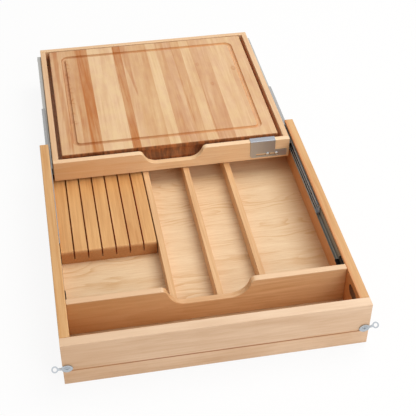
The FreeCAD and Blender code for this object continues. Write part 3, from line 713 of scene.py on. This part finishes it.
# Each stave from left to right: width in mm, how dark, how rosy, and where in the tree it was cut
staves = [
    (22.7, 0.4, 0.35, 0.1), (25.7, 0.46, 0.25, 0.62), (15, 0.66, 0.15, 0.3), (23.2, 0.88, 0, 0.81),
    (60, 0.12, 0.35, 0.47), (19.1, 0.8, 0.1, 0.93), (18.6, 0.32, 0.35, 0.05), (20.9, 0.42, 0.1, 0.55),
    (20.7, 0.46, 0.05, 0.22), (22.5, 0.1, 0.2, 0.7), (18.5, 0.52, 0.3, 0.36), (18.5, 0.44, 0.55, 0.88),
    (20, 0.5, 0.15, 0.15), (23.5, 0.26, 0.2, 0.66), (38.1, 0.46, 0.5, 0.42), (22.9, 0.22, 0.4, 0.97),
    (18.1, 0.26, 0.3, 0.27), (49, 0.28, 0.4, 0.58),
]

# Brown heartwood runs: x and y at the front end and at the rear end, half width at each, strength
darkRuns = [(-206, 512, -217, 905, 5, 6.5, 0.34), (-45, 690, -57, 905, 1, 10, 0.36),
            (102, 505, 101, 720, 2.6, 1, 0.3), (-82, 700, -80, 905, 1, 2.6, 0.34),
            (-160, 510, -166, 905, 2, 3, 0.2), (62, 560, 58, 905, 1.2, 2, 0.2)]

# x, y, radius and strength of each small knot
knots = [(186, 769, 6.5, 0.9), (127, 714, 5, 0.55), (107, 798, 5, 0.5)]

# The curly figure beside the left of the groove: x, half width, first y, last y, wave length
curl = {"x": -192, "half": 9, "start": 585, "end": 880, "wave": 24}


def staveTones(paint, x, low, width):
    # A ramp of flat steps gives each stave its three numbers
    edge = 0.0
    stops = []
    for wide, dark, rosy, cut in staves:
        stops.append((edge, (dark, rosy, cut, 1.0)))
        edge += wide / width
    steps = paint.ramp((x - low) / width, stops, "CONSTANT")
    return paint.parts("SeparateColor", {0: steps}, range(3))


def boardMarks(paint, x, y, wisp):
    # Dark runs have a straight middle and a half width that changes evenly as share goes from 0 to 1.
    # Knots are soft ovals with a pale heart; the curl is a wave along y, strongest at its middle.
    marks = 0.0
    for frontX, frontY, rearX, rearY, frontHalf, rearHalf, strength in darkRuns:
        share = ((y - frontY) / (rearY - frontY)).maths("MULTIPLY", 1.0, clamp=True)
        middle = frontX + share * (rearX - frontX) + (wisp - 0.5) * 7.0
        half = frontHalf + share * (rearHalf - frontHalf)
        inside = 1 - (abs(x - middle) / half).smooth(0.45, 1.2)
        ends = (y - (frontY - 12.0)).smooth(0, 40)
        marks = marks + inside * ends * strength
    for knotX, knotY, radius, strength in knots:
        away = distance((x - knotX) / radius, (y - knotY) / (radius * 1.7)) + (wisp - 0.5) * 1.1
        marks = marks + (1 - away.smooth(0.5, 1.2)) * (0.4 + away.smooth(0.1, 0.7)) * strength * 0.26
    wander = paint.noise(x * 0.04, y * 0.03, 4) - 0.5
    wave = ((y + wander * 90.0) * (2 * math.pi / curl["wave"])).maths("SINE")
    band = 1 - (abs(x - curl["x"] + wander * 22.0) / curl["half"]).smooth(0, 1)
    stretch = (y - curl["start"]).smooth(0, 30) * (1 - (y - curl["end"]).smooth(-30, 0))
    return marks + (wave.smooth(-0.2, 1) + 0.4) * band * stretch * 0.24


def boardPaint():
    low, high = span("cutting_board")
    paint = Paint("board_staves")
    x, y, z = paint.place()
    dark, rosy, cut = staveTones(paint, x, float(low[0]), float(high[0] - low[0]))
    # Each stave is cut from its own place in the tree, and its grain slants a little
    side = x + y * ((cut - 0.5) * 0.1) + cut * 900.0
    slow = paint.noise(side * 0.05, y * 0.006, cut * 40, 3)
    streaks = paint.noise(side * 0.2, y * 0.005, cut * 31, 4, 0.6)
    lively = paint.noise(side * 0.02, y * 0.01, cut * 23, 1).smooth(0.35, 0.65)
    hairs = paint.noise(side * 1.1, y * 0.03, z * 1.1)
    figure = paint.noise(side * 0.06, y * 0.03, cut * 17, 3)
    flecks = paint.noise(x * 1.9, y * 0.16, z * 1.9).smooth(0.6, 0.75)
    depth = dark * 0.98 + (slow - 0.5) * 0.75 + (streaks - 0.5) * (0.3 + lively * 0.7)
    depth = depth + (hairs - 0.5) * 0.16 + (figure - 0.5) * 0.3 + boardMarks(paint, x, y, slow)
    golden = paint.mix(depth, "gold", "deepGold")
    rose = paint.mix(depth, "rose", "deepRose")
    colour = paint.mix(rosy + (figure - 0.5) * 1.6, golden, rose)
    colour = paint.mix(flecks * 0.14, colour, "brown")
    # Painted shade on the walls of the groove and on the rounded edges: browner towards the left, a
    # warmer orange towards the right; the groove's bottom keeps most of the board's own colour
    depthDown = float(high[2]) - z
    walls = depthDown.smooth(0.1, 1.6) * (1 - depthDown.smooth(3.2, 4.9) * 0.75)
    wallShading = paint.mix(x.smooth(-190, 190), "wallShade", "warmWallShade")
    colour = paint.mix(walls * 0.5, colour, wallShading)
    # End grain: short upright streaks, darker than the top
    sawn = paint.noise(x * 0.16, z * 0.05, cut * 12, 3, 0.55)
    endTone = paint.mix(sawn.smooth(0.3, 0.7) * 0.8 + dark * 0.5 - 0.1, "boardEnd", "deepEnd")
    endGrain = 1 - (y - float(low[1]) - 0.6).smooth(0, 1.4)
    inCove = depthDown.smooth(2.6, 3.2) * (1 - (y - float(low[1])).smooth(10, 14))
    sawnShare = (endGrain * 0.8).maths("MAXIMUM", inCove * 0.85)
    colour = paint.mix(sawnShare, colour, endTone)
    # The board's long sides, which stand in the dark gap, take a painted warm shade
    outside = (abs(x) - float(high[0] - 1.2)).smooth(0, 0.8) * depthDown.smooth(2, 5)
    colour = paint.mix(outside * 0.7, colour, "outside")
    bump = paint.bump(0.2, woodFinish["pores"], hairs - flecks * 0.6)
    dull = sawnShare.maths("MAXIMUM", outside)
    paint.set(Base_Color=colour, Roughness=0.4 + (hairs - 0.5) * 0.12 + dull * 0.45, Normal=bump)
    paint.set(Coat_Weight=(1 - dull) * 0.08, Coat_Roughness=0.35, Specular_IOR_Level=0.35)
    return paint.material


def boardLoop(low, high, inset, corner):
    # A rectangle with round corners, drawn in from the board's edge; its front gets points for the cove
    sides = rectangle(low[0] + inset, high[0] - inset, low[1] + inset, high[1] - inset)
    split = boardShape["cornerSteps"] + 1
    turns = roundedOutline(sides, corner, split - 1)
    share = np.linspace(0, 1, 60)[1:-1, None]
    front = turns[split - 1] * (1 - share) + turns[split] * share
    return np.concatenate([turns[:split], front, turns[split:]])


def makeBoard():
    # Loops run from the middle of the foot out, up the sides, over the edge and in across the top;
    # each row says how far in its loop lies, its height and how round its corners are.
    # The juice groove is a half circle: depth = sqrt(groove^2 - (inset - centre)^2).
    low, high = span("cutting_board")
    corner, edge, centre, groove, turn = pick(boardShape, "corner", "edge", "inset", "groove", "turn")
    radius, deep, footEase, rim = pick(boardShape, "coveRadius", "coveBite", "footEase", "rim")
    foot, top = low[2], high[2]
    coveZ = foot + boardShape["coveUp"]
    mouth = math.sqrt(radius ** 2 - (radius - deep) ** 2)
    rows = [(40.0, foot, 3.0), (footEase, foot, corner), (0.0, foot + footEase, corner)]
    for swing in np.linspace(-np.pi / 2, np.pi / 2, 17):
        rows.append((0.0, coveZ + mouth * math.sin(swing), corner))
    for swing in np.linspace(0, np.pi / 2, 6):
        rows.append((edge * (1 - math.cos(swing)), top - edge + edge * math.sin(swing), corner))
    rows.append((centre - groove - rim, top, turn + groove))
    for swing in np.linspace(0, np.pi, 15):
        inset = centre - groove * math.cos(swing)
        rows.append((inset, top - groove * math.sin(swing), turn + centre - inset))
    rows += [(centre + groove + rim, top, turn - groove), (60.0, top, 5.0),
             (0.49 * (high[1] - low[1]), top, 1.0)]
    loops = np.array([boardLoop(low, high, inset, max(rounding, 0.5)) for inset, z, rounding in rows])
    rings = placed(loops, np.array([z for inset, z, rounding in rows]))
    # The cove bites into the front: y grows by sqrt(r^2 - dz^2 - dx^2) - (r - bite), if positive
    past = np.maximum(np.abs(rings[:, :, 0]) - boardShape["coveHalf"], 0)
    under = radius ** 2 - (rings[:, :, 2] - coveZ) ** 2 - past ** 2
    bite = np.sqrt(np.maximum(under, 0)) - (radius - deep)
    onFront = np.abs(rings[:, :, 1] - low[1]) < 0.01
    rings[:, :, 1] += np.where(onFront, np.maximum(bite, 0), 0)
    piece = pour("stave_board", rings)
    finishPiece(piece, "board", boardPaint(), "cutting_board", crease=50.0)


# Metal and plastic

hardBump = 0.00005  # how deep the marks on metal and plastic are, in metres
bandMetal = 0.2  # share of metal in a channel's painted bands, low so that their painted highlights and shade keep their brightness

# Noise scales across the brushing, along it and of the clouds, and how dark dull metal is
metalGrain = {"across": 0.5, "along": 0.02, "clouds": 0.05, "dull": 0.78}


def channelBands(paint, spots, member, metal, share):
    # Inside a channel painted highlights and painted shade run in bands along the unrolled section,
    # which is |x| + z: from the lower lip over the flange and up the web. The upper flange has one
    # tone, a dark painted shadow on the outer member.
    start, middle = slideSeat()
    web, lip, half = pick(member, "web", "lip", "half")
    stops = [(place, linear(shade)) for *places, shade in member["lightBands"] for place in places]
    unrolled = (abs(spots[0]) + spots[2] - float(start + lip + middle - half)) / (2 * half + web - lip)
    shades = paint.ramp(unrolled, stops)
    outside = (abs(spots[0]) - float(start + web)).smooth(-0.8, -0.4)
    crest = float(middle + half)
    shades = paint.mix(spots[2].smooth(crest - 1.5, crest - 1.1), shades, linear(member["top"]))
    return paint.mix(outside, shades, metal), outside * (share - bandMetal) + bandMetal


def metalPaint(name, colour, rough, brushed=0.0, axis=0, share=1.0, member=None, under=None,
               turn=(-0.75, 0.25)):
    # Brushing is noise drawn out along one axis; it moves roughness and bump.
    # Faces whose normal turns up by less than turn's first number take the colour of under: painted
    # light and shade by facing, darker undersides on zinc and screws, lighter upright faces on the
    # latch.
    paint = Paint(name)
    spots = paint.place()
    across, along, cloud, darker = pick(metalGrain, "across", "along", "clouds", "dull")
    lines = paint.noise(*(spots[i] * (along if i == axis else across) for i in range(3)))
    clouds = paint.noise(*(spot * cloud for spot in spots), 3)
    tone = (lines - 0.5) * (0.5 * brushed) + (clouds - 0.5) * 0.35 + 0.5
    base = linear(colour)
    dull = tuple(v * darker for v in base[:3]) + (1.0,)
    metal = paint.mix(tone, dull, base)
    if member and "lightBands" in member:
        metal, share = channelBands(paint, spots, member, metal, share)
    if under:
        normal = paint.node("NewGeometry", output="Normal")
        upward = paint.node("SeparateXYZ", {0: normal}, 2).smooth(*turn)
        metal = paint.mix(upward, linear(under), metal)
    paint.set(Base_Color=metal, Metallic=share)
    paint.set(Roughness=rough + (lines - 0.5) * brushed * 0.3 + (clouds - 0.5) * 0.1)
    paint.set(Normal=paint.bump(0.05 * brushed + 0.03, hardBump, lines))
    return paint.material


def plasticPaint(name, colour, rough, sheen=0.5):
    # Moulded plastic: a fine grain in the bump and a slow change of sheen
    paint = Paint(name)
    x, y, z = paint.place()
    grain = paint.noise(x * 3, y * 3, z * 3)
    clouds = paint.noise(x * 0.2, y * 0.2, z * 0.2)
    base = linear(colour)
    pale = tuple(min(1.0, v * 1.35 + 0.004) for v in base[:3]) + (1.0,)
    paint.set(Base_Color=paint.mix(clouds, base, pale), Roughness=rough + (clouds - 0.5) * 0.15)
    paint.set(Specular_IOR_Level=sheen, Normal=paint.bump(0.2, hardBump, grain))
    return paint.material


# Each slide member: web and lip as distances from the tray's side, half height, bend, colour, and its
# inside's bands of painted highlight and painted shade, from the lower lip at 0 to the web's top at 1:
# one or two places and the tone there; top is the upper flange's tone, a painted shadow on the outer
# member
slideMembers = {
    "outer": {
        "web": 12.7, "lip": 5.0, "half": 17.5, "bend": 2.6, "rough": 0.4, "colour": (166, 166, 160),
        "lightBands": [(0.0, 0.08, (128, 138, 138)), (0.11, 0.15, (186, 184, 176)),
                  (0.18, 0.28, (104, 97, 85)), (0.34, (152, 145, 132)), (0.86, (158, 150, 136)),
                  (0.95, (96, 86, 74))],
        "top": (52, 46, 40)},
    "middle": {
        "web": 11.1, "lip": 3.5, "half": 12.4, "bend": 2.2, "rough": 0.25, "colour": (176, 178, 180),
        "lightBands": [(0.0, (60, 54, 50)), (0.03, 0.09, (196, 196, 192)), (0.1, 0.145, (40, 32, 28)),
                  (0.155, 0.21, (206, 204, 200)), (0.23, 0.35, (30, 24, 22)),
                  (0.38, 0.62, (250, 248, 244)), (0.66, (30, 24, 22)), (0.88, (36, 30, 26))],
        "top": (168, 170, 172)},
    "inner": {
        "web": 0.0, "lip": 8.5, "half": 8.6, "bend": 2.0, "rough": 0.3, "colour": (198, 198, 194)},
}
slideSheet = {"thick": 1.15, "curl": 0.7, "cut": 0.15, "tabHalf": 4.3, "tab": 9.0}
# The bumpers, and the way through bumpers and end stops that the inner member takes
bumper = {"way": 8.95, "floor": 8.85, "ease": 0.9, "hole": 2.5,
          "radii": [0.9, 2.2, 2.2, 0.9, 0.9, 1.0, 1.0, 0.9]}


def slideSeat():
    # Where the slides sit: the tray's right side in X and the slides' middle height
    low, high = span("slide_outer_right")
    return span("tray_side_right")[1][0], (low[2] + high[2]) / 2


def channelOutline(member):
    # Upper half from the back of the web to the curled lip, then the same downwards
    way = 1.0 if member["lip"] > member["web"] else -1.0
    web, lip, half = pick(member, "web", "lip", "half")
    thick = slideSheet["thick"]
    tip = half - thick - slideSheet["curl"]
    upper = [(web, half), (lip - way * 0.4, half), (lip, half - 0.5), (lip - way * 0.2, tip),
             (lip - way * 1.2, tip), (lip - way * 1.5, half - thick), (web + way * thick, half - thick)]
    radii = [member["bend"], 0.4, 0.4, 0.3, 0.3, 0.6, member["bend"] - thick]
    corners = np.array(upper + [(u, -v) for u, v in reversed(upper)])
    radii = np.array(radii + radii[::-1])
    if way > 0:
        corners, radii = corners[::-1], radii[::-1]
    return easedOutline(corners + slideSeat(), radii, slideSheet["cut"], 4)


def join(piece, other):
    # Adds a loose shape to a piece
    work = bmesh.new()
    work.from_mesh(piece.data)
    work.from_mesh(other.data)
    work.to_mesh(piece.data)
    work.free()
    bpy.data.objects.remove(other)


def drawnOut(name, outline, front, rear, ease, side):
    # A section of the slide, carried along Y
    return pour(name, leftward(turnedTo(slabRings(outline, front, rear, ease, 3), "y"), side))


def makeMembers():
    start, middle = slideSeat()
    bodies = {"outer": "drawer", "middle": "middle_member_", "inner": "tray"}
    half, tab, cut, thick = pick(slideSheet, "tabHalf", "tab", "cut", "thick")
    tabSides = rectangle(start, start + tab, middle - half, middle + half)
    flap = easedOutline(tabSides, [0.4, 2.0, 2.0, 0.4], 0.2)
    for kind, member in slideMembers.items():
        paint = metalPaint(kind + "_steel", member["colour"], member["rough"], 0.3, 1, 0.7, member)
        for side in bothSides:
            node = "slide_" + kind + "_" + side
            low, high = span(node)
            outline = channelOutline(member)
            piece = drawnOut(kind + "_channel_" + side, outline, low[1], high[1], cut, side)
            if kind == "inner":
                join(piece, drawnOut("flap", flap, high[1] - thick, high[1] - 0.01, 0.2, side))
            body = bodies[kind] + (side if kind == "middle" else "")
            finishPiece(piece, body, paint, node)


def makeNoses():
    # A C section of plastic on the middle member's front end, drilled through from the side
    start, middle = slideSeat()
    grey = plasticPaint("grey_nylon", (140, 148, 158), 0.35)
    web, lip, half = pick(slideMembers["middle"], "web", "lip", "half")
    way, floor, ease, hole = pick(bumper, "way", "floor", "ease", "hole")
    corners = rectangle(lip, web, -half, half) + [(lip, way), (floor, way), (floor, -way), (lip, -way)]
    outline = easedOutline(np.array(corners) + [start, middle], bumper["radii"], ease)
    turn = np.linspace(0, 2 * np.pi, 25)[:-1]
    for side in bothSides:
        low, high = span("slide_bumper_" + side)
        nose = drawnOut("nose_" + side, outline, low[1], high[1] - 0.02, ease, side)
        rim = np.stack([(low[1] + high[1]) / 2 + hole * np.cos(turn), middle + hole * np.sin(turn)], 1)
        drill = turnedTo(slabRings(rim, start + floor - 2, start + web + 2, 0.1, 1), "x")
        bore(nose, pour("drill", leftward(drill, side)))
        finishPiece(nose, "middle_member_" + side, grey, "slide_bumper_" + side)


endStop = {"half": 16.2, "proud": 3.2, "back": 11.4, "body": 29.5, "arm": 50, "armIn": 12.8,
           "radii": [1.4, 1.4, 2, 1, 4, 1.4], "ease": 1.3, "wall": 4.5, "past": 5}


def makeEndStops():
    # A block with an arm along the lower flange; a pocket behind its front wall takes the inner member
    black = plasticPaint("black_nylon", (22, 18, 17), 0.55, 0.1)
    start, middle = slideSeat()
    front = span("slide_end_piece_right")[0][1]
    half, arm, armIn, body, ease = pick(endStop, "half", "arm", "armIn", "body", "ease")
    corners = [(0, -half), (arm, -half), (arm, -armIn), (body, -armIn), (body, half), (0, half)]
    outline = easedOutline(np.array(corners) + [front, middle], endStop["radii"], ease)
    block = slabRings(outline, start + endStop["proud"], start + endStop["back"], ease)
    low, high = front + endStop["wall"], front + body + endStop["past"]
    pocket = rectangle(low, high, middle - bumper["way"], middle + bumper["way"])
    hollow = slabRings(roundedOutline(pocket, 0.5), start, start + bumper["floor"], 0.1, 1)
    for side in bothSides:
        stop = pour("end_stop_" + side, leftward(turnedTo(block, "x"), side))
        bore(stop, pour("cutter", leftward(turnedTo(hollow, "x"), side)))
        finishPiece(stop, "drawer", black, "slide_end_piece_" + side)


def makeHardware():
    # Zinc and screws get painted shade on their down-turned faces, the latch a painted lighter tone on
    # its upright faces
    zinc = metalPaint("bright_zinc", (206, 212, 218), 0.2, under=(84, 92, 98))
    latch = metalPaint(
        "latch_nickel", (160, 163, 170), 0.46, 0.8, 2, under=(190, 196, 206), turn=(0.3, 0.9))
    screw = metalPaint("screw_zinc", (240, 238, 232), 0.16, under=(70, 60, 50))
    ball = metalPaint("ball_polish", (205, 206, 208), 0.1)
    cage = metalPaint("cage_zinc", (120, 116, 108), 0.35, 0.5, 1)
    dowel = woodPaint("dowel_birch", (232, 200, 156), (206, 164, 112), face=0)
    setCad(zinc, "eye_bracket_left", "eye_bracket_right", bevel=0.3)
    setCad(zinc, "eye_bracket_screw_left", "eye_bracket_screw_right")
    setCad(latch, "latch_plate", bevel=0.25)
    setCad(screw, "latch_screws", "slide_outer_screws", "slide_inner_screws", "back_screws")
    setCad(dowel, "front_dowels", "rail_dowels", "tray_dowels")
    for side in bothSides:
        setCad(cage, "outer_ball_cage_" + side, "inner_ball_cage_" + side)
        setCad(ball, "outer_balls_" + side, "inner_balls_" + side)


makeFace()
makeSides()
makeDivider()
makePartitions()
makeKnifeBlock()
makeFloor()
print("drawer box made")
makeTray()
makeBoard()
print("tray and cutting board made")
makeMembers()
makeNoses()
makeEndStops()
makeHardware()
print("hardware finished")


# Camera, light and floor

viewpoint = {"place": (-0.244435, -1.112691, 1.339952), "target": (0.04627, 0.34148, 0.0543),
             "roll": -0.01435818, "lens": 84.92, "sensor": 36.0}


def makeCamera():
    # Looks along place to target, then rolls about that line
    place = Vector(viewpoint["place"])
    ahead = (Vector(viewpoint["target"]) - place).normalized()
    right = ahead.cross(Vector((0, 0, 1))).normalized()
    down = ahead.cross(right)
    c, s = math.cos(viewpoint["roll"]), math.sin(viewpoint["roll"])
    turn = Matrix((right * c + down * s, right * s - down * c, -ahead)).transposed()
    data = bpy.data.cameras.new("viewpoint")
    data.lens = viewpoint["lens"]
    data.sensor_width = viewpoint["sensor"]
    camera = linked("viewpoint", data)
    camera.matrix_world = Matrix.Translation(place) @ turn.to_4x4()
    bpy.context.scene.camera = camera


# Each lamp: place, size, watts, colour, and whether bright metal mirrors it
lamps = {"key": ((1.1, 1.0, 2.6), 2.2, 48.0, (255, 251, 246), True),
         "fill": ((1.1, -2.0, 1.5), 1.8, 30.0, (252, 252, 255), False)}
studio = {"ambient": 0.43, "warmth": (255, 252, 247), "floorDrop": 0.0006, "floorSize": 8.0,
          "floorTone": 0.9, "shadowShare": 0.1}


def makeLights():
    middle = (Vector(cadLow) + Vector(cadHigh)) / 2
    for name, (place, size, watts, colour, mirrored) in lamps.items():
        data = bpy.data.lights.new(name, "AREA")
        data.shape = "DISK"
        data.size = size
        data.energy = watts
        data.color = linear(colour)[:3]
        light = linked(name, data)
        light.location = place
        light.visible_glossy = mirrored
        light.rotation_euler = (middle - light.location).to_track_quat("-Z", "Y").to_euler()


def whiteSeen(paint):
    # 1 for rays from the eye, from glossy faces and through clear ones
    rays = ("Is Camera Ray", "Is Glossy Ray", "Is Transmission Ray")
    eye, glossy, clear = paint.parts("LightPath", {}, rays)
    return eye.maths("MAXIMUM", glossy).maths("MAXIMUM", clear)


def makeWorld():
    world = bpy.data.worlds.new("studio")
    bpy.context.scene.world = world
    world.use_nodes = True
    paint = Paint.__new__(Paint)
    paint.tree = world.node_tree
    paint.tree.nodes.clear()
    soft = paint.node("Background", {0: linear(studio["warmth"]), "Strength": studio["ambient"]})
    white = paint.node("Background", {0: (1, 1, 1, 1), "Strength": 1.0})
    both = paint.node("MixShader", {0: whiteSeen(paint), 1: soft, 2: white})
    paint.node("OutputWorld", {"Surface": both})


def makeGround():
    reach = studio["floorSize"]
    drop = -studio["floorDrop"]
    mesh = bpy.data.meshes.new("ground")
    corners = [(x, y, drop) for x, y in rectangle(-reach, reach, -reach, reach)]
    mesh.from_pydata(corners, [], [(0, 1, 2, 3)])
    ground = linked("ground", mesh)
    paint = Paint("pale_ground")
    tone = studio["floorTone"]
    paint.set(Base_Color=(tone, tone, tone, 1), Roughness=tone)
    glow = paint.node("Emission", {0: (1, 1, 1, 1), "Strength": 1.0})
    share = whiteSeen(paint) * (1 - studio["shadowShare"])
    plain = Strand(paint, paint.shader.outputs[0])
    both = paint.node("MixShader", {0: share, 1: plain, 2: glow})
    paint.plug(paint.tree.nodes["Material Output"].inputs["Surface"], both)
    mesh.materials.append(paint.material)


makeCamera()
makeLights()
makeWorld()
makeGround()
bpy.context.scene.view_settings.view_transform = "Standard"
print("studio set")
